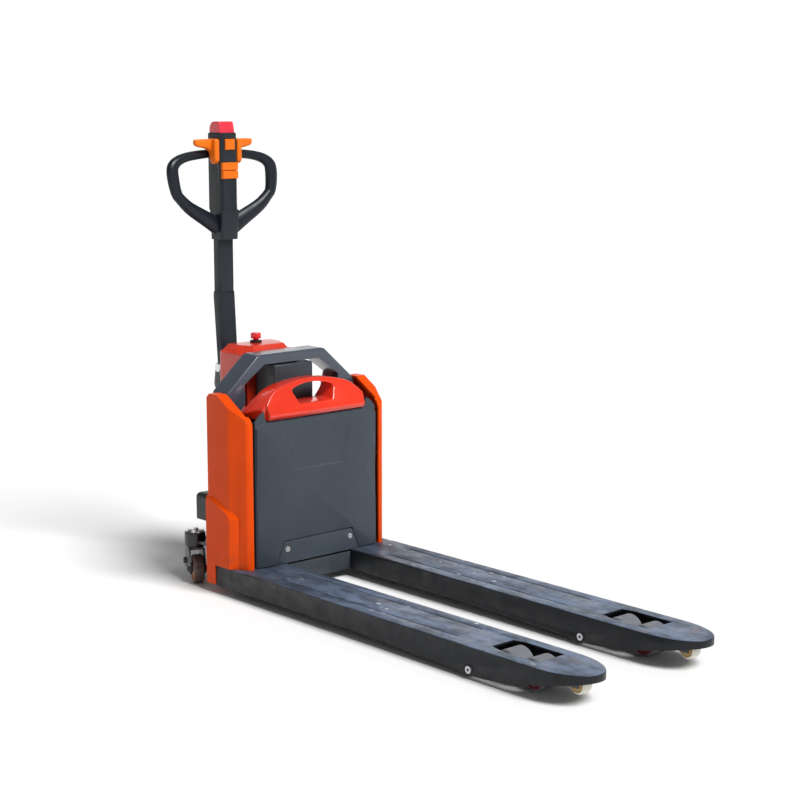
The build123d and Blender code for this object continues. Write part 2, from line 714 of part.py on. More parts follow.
with BuildPart() as tower_cover:
    slab((TOWER_BACK, TOWER_FRONT), (-TOWER_HALF, TOWER_HALF), (BASE_PLATE_TOP, TOWER_TOP))
    fillet(tower_cover.edges().filter_by(Axis.Z), radius=16)
    fillet(tower_cover.faces().sort_by(Axis.Z)[-1].edges(), radius=5)
    inside = ((TOWER_BACK + 3, TOWER_FRONT - 3), (-TOWER_HALF + 3, TOWER_HALF - 3))
    slab(*inside, (BASE_PLATE_TOP - 1, TOWER_TOP - 4), mode=Mode.SUBTRACT)
    post(ESTOP, 0, 9, TOWER_TOP - 10, TOWER_TOP + 1, mode=Mode.SUBTRACT)

lid_foot = [(-322, 92), (-262, 92), (-208, 66)]
lid_crown = [(-310, 74), (-268, 74), (-221, 54)]
with BuildPart() as tower_lid:
    for lid_half, lid_height in ((lid_foot, TOWER_TOP), (lid_crown, LID_TOP)):
        with BuildSketch(level(lid_height)):
            with BuildLine():
                Polyline(*mirrored_plan(lid_half), close=True)
            make_face()
    loft()
    fillet(tower_lid.faces().sort_by(Axis.Z)[-1].edges(), radius=2)
    post(ESTOP, 0, 9, TOWER_TOP - 1, LID_TOP + 1, mode=Mode.SUBTRACT)

with BuildPart() as estop_collar:
    post(ESTOP, 0, 17, LID_TOP, 670)
    post(ESTOP, 0, 9, LID_TOP - 1, 671, mode=Mode.SUBTRACT)

with BuildPart() as estop_button:
    post(ESTOP, 0, 8, 640, 676)
    post(ESTOP, 0, ESTOP_RADIUS, 676, 692)
    chamfer(estop_button.faces().sort_by(Axis.Z)[-1].edges(), length=2)

hand_in(base_frame.part, "base_frame")
hand_in(lift_cylinder.part, "lift_cylinder")
hand_in(pump_unit.part, "pump_unit")
hand_in(controller.part, "controller")
hand_in(tower_cover.part, "tower_cover")
hand_in(tower_lid.part, "tower_lid")
hand_in(estop_collar.part, "estop_collar")
hand_in(estop_button.part, "estop_button")


# ---------------------------------------------------------------- casters and fenders
def caster_housing(y):
    """Swivel bearing housing of a stabiliser caster."""
    with BuildPart() as body:
        post(CASTER_SWIVEL, y, HOUSING_RADIUS, CASTER_HOUSING_BOTTOM, CASTER_HOUSING_TOP)
        chamfer(body.edges().filter_by(GeomType.CIRCLE), length=2)
        bore = (CASTER_STEM_RADIUS + RUNNING_FIT, CASTER_HOUSING_BOTTOM - 1, CASTER_STEM_TOP + 1)
        post(CASTER_SWIVEL, y, *bore, mode=Mode.SUBTRACT)
    return body.part


def caster_yoke(y):
    """Swivelling fork with its stem, a cross tube at the back and the wheel axle."""
    cheek_outline = [
        (-54, 36),
        (-54, 62),
        (-28, YOKE_TOP),
        (24, YOKE_TOP),
        (46, 66),
        (51, 52),
        (51, 36),
        (44, 28),
        (26, 28),
        (-12, 32),
        (-40, 30),
    ]
    cheek_side = [(CASTER_SWIVEL + forward, z) for forward, z in cheek_outline]
    axle = CASTER_SWIVEL + CASTER_TRAIL
    tube = CASTER_SWIVEL - 39
    with BuildPart() as body:
        for cheek in (-23, 18):
            side_shape(cheek_side, y + cheek, y + cheek + 5)
        top_plate = (CASTER_SWIVEL - 28, CASTER_SWIVEL + 24)
        slab(top_plate, (y - 23, y + 23), (YOKE_TOP - 5, YOKE_TOP))
        post(CASTER_SWIVEL, y, 24, YOKE_TOP, CASTER_HOUSING_BOTTOM - 0.5)
        post(CASTER_SWIVEL, y, CASTER_STEM_RADIUS, YOKE_TOP, CASTER_STEM_TOP)
        cross_bar(tube, 48, 10, y - 23, y + 23)
        cross_bar(tube, 48, 9, y - 29, y + 29)
        cross_bar(axle, CASTER_RADIUS, 5, y - 30, y + 30)
        cross_bar(axle, CASTER_RADIUS, 9, y - 28, y - 23)
        cross_bar(axle, CASTER_RADIUS, 9, y + 23, y + 28)
    return body.part


def turned(part, sign):
    """Caster part turned outwards about its swivel axis."""
    swivel = Axis((LOAD_FACE_X + CASTER_SWIVEL, sign * CASTER_Y, 0), (0, 0, 1))
    return part.rotate(swivel, sign * CASTER_TURN)


FENDER = ((-270.0, -172.0), (200.0, 235.0), (178.0, 258.0))


def fender(sign):
    """Rounded guard over a caster, open underneath."""
    across = sorted(sign * edge for edge in FENDER[1])
    with BuildPart() as body:
        slab(FENDER[0], across, FENDER[2])
        outer_face = body.faces().sort_by(Axis.Y)[-1 if sign > 0 else 0]
        rear_top_edge = body.faces().sort_by(Axis.X)[0].edges().sort_by(Axis.Z)[-1:]
        fillet(outer_face.edges() + rear_top_edge, radius=14)
        hollow = (
            (FENDER[0][0] + 4, FENDER[0][1] - 4),
            sorted((sign * 204, sign * 222)),
            (FENDER[2][0] - 1, FENDER[2][1] - 16),
        )
        slab(*hollow, mode=Mode.SUBTRACT)
    return body.part


BOLT_CIRCLE = 19.0
with BuildPart() as caster_bolts:
    for sign in SIDES.values():
        for turn in range(0, 360, 90):
            bolt_forward = CASTER_SWIVEL + BOLT_CIRCLE * cos(radians(turn + 45))
            bolt_y = sign * CASTER_Y + BOLT_CIRCLE * sin(radians(turn + 45))
            with BuildSketch(level(CASTER_HOUSING_TOP)) as hexagon:
                with Locations((bolt_forward, bolt_y)):
                    RegularPolygon(radius=6.5, side_count=6)
            extrude(hexagon.sketch, amount=6)

hand_in(caster_bolts.part, "caster_bolts")
for side_name, sign in SIDES.items():
    caster_y = sign * CASTER_Y
    hand_in(caster_housing(caster_y), f"caster_housing_{side_name}")
    hand_in(turned(caster_yoke(caster_y), sign), f"caster_yoke_{side_name}")
    caster_wheel = wheel(
        CASTER_SWIVEL + CASTER_TRAIL,
        caster_y,
        CASTER_RADIUS,
        CASTER_RADIUS,
        30,
        5 + RUNNING_FIT,
        crown=4,
        recess=2.5,
    )
    hand_in(turned(caster_wheel, sign), f"caster_wheel_{side_name}")
    hand_in(fender(sign), f"fender_{side_name}")


# ---------------------------------------------------------------- drive unit and steering
BRACKET_TOP = 240.0
BRACKET_PLATE = 222.0
BRACKET_RADIUS = 100.0
DRIVE_HALF_WIDTH = 32.5
DRIVE_AXLE_RADIUS = 12.5
HUB_RADIUS = 80.0
COLUMN = (-440.0, -398.0)
COLUMN_HALF = 29.0
EAR_THICKNESS = 8.0
TILLER_PIN_RADIUS = 7.0

with BuildPart() as drive_bracket:
    post(STEER_AXIS, 0, BRACKET_RADIUS, BRACKET_PLATE, BRACKET_TOP)
    post(STEER_AXIS, 0, 75, BRACKET_TOP, BASE_PLATE_BOTTOM - 0.5)
    post(STEER_AXIS, 0, NECK_RADIUS, BRACKET_TOP, 288)
    cheek_shape = [(-310, 222), (-310, 150), (-292, 85), (-248, 85), (-230, 150), (-230, 222)]
    for cheek in (-48, 38):
        side_shape(cheek_shape, cheek, cheek + 10)
    cross_bar(STEER_AXIS, DRIVE_RADIUS, DRIVE_AXLE_RADIUS, -50, 50)

with BuildPart() as drive_motor:
    post(STEER_AXIS, 0, 50, 288, 440)
    post(STEER_AXIS, 0, 30, 440, 462)
    fillet(drive_motor.edges().filter_by(GeomType.CIRCLE).sort_by(Axis.Z)[-1:], radius=4)

with BuildPart() as drive_hub:
    cross_bar(STEER_AXIS, DRIVE_RADIUS, HUB_RADIUS, -26, 26)
    cross_bar(STEER_AXIS, DRIVE_RADIUS, 60, -40, -18, mode=Mode.SUBTRACT)
    cross_bar(STEER_AXIS, DRIVE_RADIUS, 60, 18, 40, mode=Mode.SUBTRACT)
    cross_bar(STEER_AXIS, DRIVE_RADIUS, 26, -34, 34)
    hub_bore = DRIVE_AXLE_RADIUS + RUNNING_FIT
    cross_bar(STEER_AXIS, DRIVE_RADIUS, hub_bore, -40, 40, mode=Mode.SUBTRACT)

with BuildPart() as drive_tyre:
    tyre_width = (-DRIVE_HALF_WIDTH, DRIVE_HALF_WIDTH)
    cross_bar(STEER_AXIS, DRIVE_RADIUS, DRIVE_RADIUS, *tyre_width)
    chamfer(drive_tyre.edges().filter_by(GeomType.CIRCLE), length=5)
    cross_bar(STEER_AXIS, DRIVE_RADIUS, HUB_RADIUS, -40, 40, mode=Mode.SUBTRACT)

with BuildPart() as steering_arm:
    slab((COLUMN[0], STEER_AXIS - 60), (-COLUMN_HALF, COLUMN_HALF), (BRACKET_PLATE, BRACKET_TOP))
    post(STEER_AXIS, 0, BRACKET_RADIUS, BRACKET_PLATE - 1, BRACKET_TOP + 1, mode=Mode.SUBTRACT)
    slab(COLUMN, (-COLUMN_HALF, COLUMN_HALF), (BRACKET_PLATE, 554))
    column_hollow = ((COLUMN[0] + 6, COLUMN[1] + 1), (-COLUMN_HALF + 6, COLUMN_HALF - 6))
    slab(*column_hollow, (BRACKET_TOP, 520), mode=Mode.SUBTRACT)
    for ear_y in (-COLUMN_HALF - EAR_THICKNESS + 0.5, COLUMN_HALF - 0.5):
        ear_ends = ((TILLER_PIVOT, TILLER_PIVOT_Z, 16), (-419, 530, 18))
        link_plate(ear_ends, ear_y, ear_y + EAR_THICKNESS)
    pin_hole = (TILLER_PIVOT, TILLER_PIVOT_Z, TILLER_PIN_RADIUS, -50, 50)
    cross_bar(*pin_hole, mode=Mode.SUBTRACT)

with BuildPart() as tiller_pin:
    pin_reach = COLUMN_HALF - 0.5 + EAR_THICKNESS
    cross_bar(TILLER_PIVOT, TILLER_PIVOT_Z, TILLER_PIN_RADIUS, -pin_reach, pin_reach)
    cross_bar(TILLER_PIVOT, TILLER_PIVOT_Z, 12, -pin_reach - 5, -pin_reach)
    cross_bar(TILLER_PIVOT, TILLER_PIVOT_Z, 12, pin_reach, pin_reach + 5)

hand_in(drive_bracket.part, "drive_bracket")
hand_in(drive_motor.part, "drive_motor")
hand_in(drive_hub.part, "drive_hub")
hand_in(drive_tyre.part, "drive_tyre")
hand_in(steering_arm.part, "steering_arm")
hand_in(tiller_pin.part, "tiller_pin")


# ---------------------------------------------------------------- tiller
ARM_HALF = 28.0
ARM_TOP = 800.0
TUBE = (-443.5, -416.5)
TUBE_HALF = 26.5
TUBE_TOP = 1000.0
SLEEVE_BOTTOM = 954.0
SHOULDER = 1040.0
HEAD_FRONT = -392.0
HEAD_HALF = 31.0
HEAD_TOP = 1262.0

with BuildPart() as tiller_arm:
    arm_front = [(-405, 590), (-416.5, 788), (-418, ARM_TOP)]
    arm_side = [*arm_front, (-444, ARM_TOP), (-444.5, 788), (-429, 590)]
    side_shape(arm_side, -ARM_HALF, ARM_HALF)
    cheeks = ((TILLER_PIVOT, TILLER_PIVOT_Z, 14), (-417, 592, 12))
    link_plate(cheeks, -ARM_HALF, ARM_HALF)
    pin_bore = (TILLER_PIVOT, TILLER_PIVOT_Z, TILLER_PIN_RADIUS + RUNNING_FIT)
    cross_bar(*pin_bore, -ARM_HALF, ARM_HALF, mode=Mode.SUBTRACT)

with BuildPart() as tiller_tube:
    slab(TUBE, (-TUBE_HALF, TUBE_HALF), (ARM_TOP, TUBE_TOP))
    fillet(tiller_tube.edges().filter_by(Axis.Z), radius=3)
    tube_inside = ((TUBE[0] + 3, TUBE[1] - 3), (-TUBE_HALF + 3, TUBE_HALF - 3))
    slab(*tube_inside, (ARM_TOP + 10, TUBE_TOP + 1), mode=Mode.SUBTRACT)

BUTTON_GAP = 0.6
HORN = ((-17.0, 17.0), (1213.0, 1244.0))
RAISE = ((-28.0, 28.0), (1154.2, 1177.0))
LOWER = ((-28.0, 28.0), (1130.0, 1152.8))
BUTTON_BACK = HEAD_FRONT - 7
BUTTON_FACE = HEAD_FRONT + 4
BELLY = ((-456.0, -398.0), (-26.0, 26.0), (1250.0, 1294.0))


def pocket_for(limits, clearance):
    """Limits (low, high) grown by a clearance on both sides."""
    return (limits[0] - clearance, limits[1] + clearance)


with BuildPart() as head_shell:
    slab((-HEAD_REAR, HEAD_FRONT), (-HEAD_HALF, HEAD_HALF), (SHOULDER, HEAD_TOP))
    chamfer(head_shell.edges().filter_by(Axis.Z), length=9)
    fillet(head_shell.faces().sort_by(Axis.Z)[-1].edges(), radius=5)
    with BuildSketch(level(SLEEVE_BOTTOM)) as sleeve_low:
        with Locations((-423, 0)):
            RectangleRounded(54, 60, 6)
    with BuildSketch(level(SHOULDER)) as sleeve_high:
        with Locations((-422, 0)):
            RectangleRounded(66, 62, 6)
    loft([sleeve_low.sketch, sleeve_high.sketch])
    slab(TUBE, (-TUBE_HALF, TUBE_HALF), (SLEEVE_BOTTOM - 1, TUBE_TOP), mode=Mode.SUBTRACT)
    for across, height in (HORN, (RAISE[0], (LOWER[1][0], RAISE[1][1]))):
        pocket = (pocket_for(across, BUTTON_GAP), pocket_for(height, BUTTON_GAP))
        slab((BUTTON_BACK - 4, HEAD_FRONT + 1), *pocket, mode=Mode.SUBTRACT)
    belly_pocket = (pocket_for(BELLY[0], BUTTON_GAP), pocket_for(BELLY[1], BUTTON_GAP))
    slab(*belly_pocket, (BELLY[2][0] - 9, HEAD_TOP + 1), mode=Mode.SUBTRACT)


def push_button(across, height):
    """Key on the front of the head, set back into its pocket."""
    with BuildPart() as body:
        slab((BUTTON_BACK, BUTTON_FACE), across, height)
        chamfer(body.faces().sort_by(Axis.X)[-1].edges(), length=1.5)
    return body.part


with BuildPart() as belly_button:
    slab(BELLY[0], BELLY[1], (BELLY[2][0], 1264))
    with BuildSketch(side_plane(-26)) as arch:
        with BuildLine():
            Polyline((-398, 1264), (-456, 1264), (-456, 1272))
            ThreePointArc((-456, 1272), (-446, 1288), (-428, BELLY[2][1]))
            Polyline((-428, BELLY[2][1]), (-404, BELLY[2][1]), (-398, 1288), (-398, 1264))
        make_face()
    extrude(arch.sketch, amount=-52)

THROTTLE_AXIS = -413.0
THROTTLE_Z = 1206.0
THROTTLE_BODY = (31.5, 49.0)
wing_outline = [(42, 1221), (42, 1244.5), (97, 1244.5), (101, 1239), (100, 1231), (72, 1221)]


def throttle(sign):
    """Butterfly paddle: a long body on the side of the head with a thumb wing behind it."""
    with BuildPart() as body:
        across = sorted(sign * edge for edge in THROTTLE_BODY)
        corners = ((THROTTLE_AXIS + 2, 1188, 15), (-424, 1239, 7), (-404, 1239, 7))
        link_plate(corners, *across)
        stalk = sorted((sign * (HEAD_HALF - 6), sign * (HEAD_HALF + 1)))
        cross_bar(THROTTLE_AXIS, THROTTLE_Z, 7, *stalk)
        front_shape([(sign * y, z) for y, z in wing_outline], -433, -415)
    return body.part


with BuildPart() as throttle_bore:
    cross_bar(THROTTLE_AXIS, THROTTLE_Z, 7.1, -HEAD_HALF - 1, HEAD_HALF + 1)
with BuildPart() as bored_head:
    add(head_shell.part)
    add(throttle_bore.part, mode=Mode.SUBTRACT)

# The grip loop lies in a plane that leans: its lower end is further forward than its bar.
LOOP_ORIGIN = (-447.5, 31.0, 1199.0)
LOOP_SPREAD = 0.094
LOOP_LEAN = -0.1345
loop_outer = [
    (28, 1214),
    (128, 1207),
    (180, 1190),
    (196, 1160),
    (194, 1118),
    (186, 1083),
    (32, 967),
]
loop_inner = [
    (28, 1190),
    (115, 1179),
    (148, 1171),
    (156, 1156),
    (155, 1122),
    (149, 1094),
    (57, 1037),
    (28, 1022),
]


def loop_plane(sign):
    """Plane of one half of the grip loop."""
    across = Vector(LOOP_SPREAD, sign, 0)
    upward = Vector(LOOP_LEAN, 0, 1)
    return Plane(
        origin=(LOAD_FACE_X + LOOP_ORIGIN[0], sign * LOOP_ORIGIN[1], LOOP_ORIGIN[2]),
        x_dir=across,
        z_dir=across.cross(upward),
    )


def loop_point(plane, sign, y, z):
    """Local point of the loop's plane that stands at y and z."""
    lean = LOOP_SPREAD * (y - LOOP_ORIGIN[1]) + LOOP_LEAN * (z - LOOP_ORIGIN[2])
    local = plane.to_local_coords(Vector(LOAD_FACE_X + LOOP_ORIGIN[0] + lean, sign * y, z))
    return (local.X, local.Y)


with BuildPart() as grip_loop:
    for sign in SIDES.values():
        plane = loop_plane(sign)
        with BuildSketch(plane) as loop_section:
            with BuildLine():
                loop_edge = [loop_point(plane, sign, *point) for point in loop_outer]
                FilletPolyline(*loop_edge, radius=18)
                loop_return = [loop_point(plane, sign, *point) for point in loop_inner]
                FilletPolyline(*loop_return, radius=9)
                Line(loop_point(plane, sign, *loop_outer[0]), loop_return[0])
                Line(loop_point(plane, sign, *loop_outer[-1]), loop_return[-1])
            make_face()
        extrude(loop_section.sketch, amount=13, both=True)
    add(head_shell.part, mode=Mode.SUBTRACT)
    head_block = ((-HEAD_REAR - 20, -350), (-HEAD_HALF + 3, HEAD_HALF - 3), (940, 1250))
    slab(*head_block, mode=Mode.SUBTRACT)

hand_in(tiller_arm.part, "tiller_arm")
hand_in(tiller_tube.part, "tiller_tube")
hand_in(bored_head.part, "head_shell")
hand_in(grip_loop.part, "grip_loop")
hand_in(push_button(*HORN), "horn_button")
hand_in(push_button(*RAISE), "raise_button")
hand_in(push_button(*LOWER), "lower_button")
hand_in(belly_button.part, "belly_button")
for side_name, sign in SIDES.items():
    hand_in(throttle(sign), f"throttle_{side_name}")
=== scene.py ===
"""Electric pallet truck: materials, detailed pieces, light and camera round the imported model."""

import json
import math

import bmesh
import bpy
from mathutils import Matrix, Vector


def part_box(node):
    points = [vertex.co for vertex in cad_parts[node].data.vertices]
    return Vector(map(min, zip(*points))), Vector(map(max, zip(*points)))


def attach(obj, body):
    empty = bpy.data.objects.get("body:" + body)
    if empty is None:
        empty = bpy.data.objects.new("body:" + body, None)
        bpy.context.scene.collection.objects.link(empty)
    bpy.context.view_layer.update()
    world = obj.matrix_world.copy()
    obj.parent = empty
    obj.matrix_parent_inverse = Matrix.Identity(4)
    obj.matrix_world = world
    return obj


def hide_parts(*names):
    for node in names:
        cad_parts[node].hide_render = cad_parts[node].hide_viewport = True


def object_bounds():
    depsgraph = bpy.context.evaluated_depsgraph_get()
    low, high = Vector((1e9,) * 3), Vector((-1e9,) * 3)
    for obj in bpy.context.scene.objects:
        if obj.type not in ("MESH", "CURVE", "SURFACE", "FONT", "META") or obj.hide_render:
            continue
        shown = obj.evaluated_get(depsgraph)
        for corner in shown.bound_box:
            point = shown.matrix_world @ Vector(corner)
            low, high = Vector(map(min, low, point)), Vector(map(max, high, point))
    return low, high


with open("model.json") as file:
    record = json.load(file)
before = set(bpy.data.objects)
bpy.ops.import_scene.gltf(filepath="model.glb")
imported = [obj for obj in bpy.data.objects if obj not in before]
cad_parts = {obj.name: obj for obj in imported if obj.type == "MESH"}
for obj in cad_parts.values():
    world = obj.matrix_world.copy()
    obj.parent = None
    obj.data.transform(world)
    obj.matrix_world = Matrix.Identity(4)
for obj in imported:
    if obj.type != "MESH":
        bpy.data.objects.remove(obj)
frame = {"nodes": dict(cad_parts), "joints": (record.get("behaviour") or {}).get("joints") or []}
cad_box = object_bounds()
NODES = frame["nodes"]
JOINTS = {joint["name"]: joint for joint in frame["joints"]}
LOAD_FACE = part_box("battery_housing")[1].x
SIDES = {"left": 1, "right": -1}


# ---------------------------------------------------------------- node toolkit
class Graph:
    """A node tree that is put together from named steps."""

    def __init__(self, tree, coordinates):
        self.tree = tree
        self.coords = self.node("ShaderNodeTexCoord").outputs[coordinates]

    def node(self, kind):
        return self.tree.nodes.new(kind)

    def link(self, source, target):
        self.tree.links.new(source, target)

    def band(self, value, low, high, to_low=0.0, to_high=1.0, ease="SMOOTHSTEP"):
        """Value carried from low..high to to_low..to_high and clamped."""
        node = self.node("ShaderNodeMapRange")
        node.interpolation_type = ease
        self.link(value, node.inputs["Value"])
        node.inputs["From Min"].default_value = low
        node.inputs["From Max"].default_value = high
        node.inputs["To Min"].default_value = to_low
        node.inputs["To Max"].default_value = to_high
        return node.outputs["Result"]

    def combine(self, operation, first, second):
        """Arithmetic on two values, the second of which may be a number."""
        node = self.node("ShaderNodeMath")
        node.operation = operation
        self.link(first, node.inputs[0])
        if isinstance(second, (int, float)):
            node.inputs[1].default_value = second
        else:
            self.link(second, node.inputs[1])
        return node.outputs[0]

    def vectors(self, operation, first, second=(0, 0, 0)):
        """Outputs of vector arithmetic whose second vector is fixed."""
        node = self.node("ShaderNodeVectorMath")
        node.operation = operation
        self.link(first, node.inputs[0])
        node.inputs[1].default_value = second
        return node.outputs

    def component(self, vector, letter):
        """One component of a vector."""
        node = self.node("ShaderNodeSeparateXYZ")
        self.link(vector, node.inputs[0])
        return node.outputs[letter]


# ---------------------------------------------------------------- camera, light and floor
CAMERA_AHEAD = 3.8843
CAMERA_ACROSS = -3.192
CAMERA_HEIGHT = 1.3985
CAMERA_HEADING = 137.97
CAMERA_PITCH = -9.81
CAMERA_LENS = 82.07
SENSOR_WIDTH = 36


def add_camera():
    """Camera at the height and angle of a person standing off the right fork tip."""
    data = bpy.data.cameras.new("camera")
    data.lens = CAMERA_LENS
    data.sensor_width = SENSOR_WIDTH
    camera = bpy.data.objects.new("camera", data)
    camera.location = (LOAD_FACE + CAMERA_AHEAD, CAMERA_ACROSS, CAMERA_HEIGHT)
    tilt = math.radians(90 + CAMERA_PITCH)
    camera.rotation_euler = (tilt, 0, math.radians(CAMERA_HEADING - 90))
    bpy.context.scene.collection.objects.link(camera)
    bpy.context.scene.camera = camera


SUN_STRENGTH = 4.0
SUN_ELEVATION = 50
SUN_HEADING = 6
SUN_ANGLE = 24
SKY_STRENGTH = 0.24
BACKDROP_STRENGTH = 1.1
BACKDROP_DIP = -0.2
BACKDROP_EDGE = (0.6, 0.9)
HORIZON_EDGE = (0.08, 0.2)
FLOOR_REACH = 60
FLOOR_GAP = 0.0005
FLOOR_TONE = (0.84, 0.84, 0.84, 1)


def add_sun():
    """Broad key light over the fork tips."""
    data = bpy.data.lights.new("key", "SUN")
    data.energy = SUN_STRENGTH
    data.angle = math.radians(SUN_ANGLE)
    light = bpy.data.objects.new("key", data)
    light.rotation_euler = (0, math.radians(90 - SUN_ELEVATION), math.radians(SUN_HEADING))
    bpy.context.scene.collection.objects.link(light)


def add_world():
    """Dim surroundings with a white horizon and a white backdrop on the far side."""
    world = bpy.data.worlds.new("studio")
    world.use_nodes = True
    graph = Graph(world.node_tree, "Generated")
    heading = math.radians(CAMERA_HEADING)
    far_side = (math.cos(heading), math.sin(heading), BACKDROP_DIP)
    facing = graph.vectors("DOT_PRODUCT", graph.coords, far_side)["Value"]
    backdrop = graph.band(facing, *BACKDROP_EDGE, 0, 1, ease="LINEAR")
    height = graph.component(graph.coords, "Z")
    horizon = graph.band(height, *HORIZON_EDGE, 1, 0, ease="LINEAR")
    white = graph.combine("MAXIMUM", backdrop, horizon)
    strength = graph.band(white, 0, 1, SKY_STRENGTH, BACKDROP_STRENGTH, ease="LINEAR")
    background = graph.tree.nodes["Background"]
    background.inputs["Color"].default_value = (1, 1, 1, 1)
    graph.link(strength, background.inputs["Strength"])
    bpy.context.scene.world = world


def add_floor():
    """Plain pale floor, wide enough to have no edge in view."""
    mesh = bpy.data.meshes.new("floor")
    far = FLOOR_REACH
    corners = [(-far, -far, 0), (far, -far, 0), (far, far, 0), (-far, far, 0)]
    mesh.from_pydata(corners, [], [(0, 1, 2, 3)])
    floor = bpy.data.objects.new("floor", mesh)
    floor.location.z = cad_box[0].z - FLOOR_GAP
    bpy.context.scene.collection.objects.link(floor)
    paint = bpy.data.materials.new("floor_paint")
    paint.use_nodes = True
    surface = paint.node_tree.nodes["Principled BSDF"]
    surface.inputs["Base Color"].default_value = FLOOR_TONE
    surface.inputs["Roughness"].default_value = 0.9
    surface.inputs["Specular IOR Level"].default_value = 0.1
    mesh.materials.append(paint)


def add_studio():
    """Surroundings, light and floor."""
    add_world()
    add_sun()
    add_floor()
    bpy.context.scene.view_settings.view_transform = "Standard"


# ---------------------------------------------------------------- kinds of material
COAT_ROUGHNESS = 0.12


class Shade(Graph):
    """A material's node tree, in object coordinates, round its shader."""

    def __init__(self, name, metallic=0.0, coat=0.0, specular=0.5):
        self.material = bpy.data.materials.new(name)
        self.material.use_nodes = True
        super().__init__(self.material.node_tree, "Object")
        self.surface = self.tree.nodes["Principled BSDF"]
        self.surface.inputs["Metallic"].default_value = metallic
        self.surface.inputs["Specular IOR Level"].default_value = specular
        self.surface.inputs["Coat Weight"].default_value = coat
        self.surface.inputs["Coat Roughness"].default_value = COAT_ROUGHNESS

    def stretched(self, stretch):
        """Object coordinates with each axis scaled."""
        mapping = self.node("ShaderNodeMapping")
        mapping.inputs["Scale"].default_value = stretch
        self.link(self.coords, mapping.inputs["Vector"])
        return mapping.outputs["Vector"]

    def noise(self, scale, detail, stretch=(1, 1, 1), rough=0.55):
        """Cloudy noise, 0 to 1."""
        texture = self.node("ShaderNodeTexNoise")
        texture.inputs["Scale"].default_value = scale
        texture.inputs["Detail"].default_value = detail
        texture.inputs["Roughness"].default_value = rough
        self.link(self.stretched(stretch), texture.inputs["Vector"])
        return texture.outputs["Fac"]

    def cells(self, scale, stretch=(1, 1, 1)):
        """Distance from the nearest of many scattered points."""
        texture = self.node("ShaderNodeTexVoronoi")
        texture.inputs["Scale"].default_value = scale
        self.link(self.stretched(stretch), texture.inputs["Vector"])
        return texture.outputs["Distance"]

    def axis(self, letter):
        """One object coordinate in metres."""
        return self.component(self.coords, letter)

    def facing_up(self):
        """1 where the surface faces up, 0 where it is upright."""
        normal = self.node("ShaderNodeNewGeometry").outputs["Normal"]
        return self.band(self.component(normal, "Z"), 0.35, 0.85)

    def radius_from(self, centre, axis):
        """Distance from an axle through a point."""
        offset = self.vectors("SUBTRACT", self.coords, centre)["Vector"]
        across = self.vectors("CROSS_PRODUCT", offset, axis)["Vector"]
        return self.vectors("LENGTH", across)["Value"]

    def mix(self, amount, first, second):
        """Colour between two colours, each a socket or a tuple."""
        node = self.node("ShaderNodeMix")
        node.data_type = "RGBA"
        self.link(amount, node.inputs["Factor"])
        for socket, colour in ((node.inputs[6], first), (node.inputs[7], second)):
            if isinstance(colour, tuple):
                socket.default_value = (*colour, 1)
            else:
                self.link(colour, socket)
        return node.outputs[2]

    def colour(self, socket):
        self.link(socket, self.surface.inputs["Base Color"])

    def roughness(self, socket):
        self.link(socket, self.surface.inputs["Roughness"])

    def bump(self, height, distance, strength):
        node = self.node("ShaderNodeBump")
        node.inputs["Strength"].default_value = strength
        node.inputs["Distance"].default_value = distance
        self.link(height, node.inputs["Height"])
        self.link(node.outputs["Normal"], self.surface.inputs["Normal"])


ROAD_DIRT = (0.05, 0.045, 0.04)
FORK_SIDE = (0.006, 0.0075, 0.01)
# Deck colours: worn paint with a painted sky reflection, lighter and bluer than the fork's sides.
DECK_AND_SKY_SHEEN = (0.048, 0.064, 0.094)
DECK_RUBBED_AND_SKY_SHEEN = (0.14, 0.185, 0.27)
DECK_SCORE = (0.2, 0.22, 0.27)
BARE_STEEL = (0.5, 0.52, 0.55)
RUST = (0.2, 0.085, 0.04)


def darker(colour, amount):
    return tuple(channel * amount for channel in colour)


def painted(name, colour, roughness, coat=0.3, specular=0.5, wear=0.5):
    """Powder-coated steel: orange-peel, faint cloudiness, fine scratches and road dirt low down."""
    shade = Shade(name, coat=coat, specular=specular)
    cloud = shade.noise(5.5, 3)
    tone = shade.mix(shade.band(cloud, 0.35, 0.7), darker(colour, 0.88), colour)
    streaks = shade.noise(60, 5, stretch=(0.35, 1, 4.5), rough=0.75)
    scratch = shade.band(streaks, 0.70, 0.78, 0, wear)
    pale = tuple(min(1, channel * 0.6 + 0.22) for channel in colour)
    scratched = shade.mix(scratch, tone, pale)
    low_down = shade.band(shade.axis("Z"), 0.03, 0.2, 0.35, 0.0)
    grime = shade.combine("MULTIPLY", low_down, shade.band(shade.noise(26, 6), 0.45, 0.75))
    shade.colour(shade.mix(grime, scratched, ROAD_DIRT))
    smear = shade.noise(14, 5)
    shade.roughness(shade.band(smear, 0.3, 0.75, roughness * 0.8, roughness * 1.35))
    shade.bump(shade.noise(420, 2), 0.0002, 0.35)
    return shade.material


def moulded(name, colour, roughness, grain=1100, dust=0.35, coat=0.0, specular=0.5):
    """Moulded plastic with a fine leather grain and a trace of dust on top faces."""
    shade = Shade(name, coat=coat, specular=specular)
    cloud = shade.noise(7, 4)
    tone = shade.mix(shade.band(cloud, 0.35, 0.7), darker(colour, 0.88), darker(colour, 1.06))
    pale = tuple(channel * 0.7 + 0.1 for channel in colour)
    specks = shade.band(shade.noise(120, 8), 0.5, 0.75)
    specks = shade.combine("MULTIPLY", shade.facing_up(), specks)
    shade.colour(shade.mix(shade.combine("MULTIPLY", specks, dust), tone, pale))
    handled = shade.noise(18, 5)
    shade.roughness(shade.band(handled, 0.3, 0.75, roughness * 0.82, roughness * 1.2))
    shade.bump(shade.cells(grain), 0.00012, 0.5)
    return shade.material


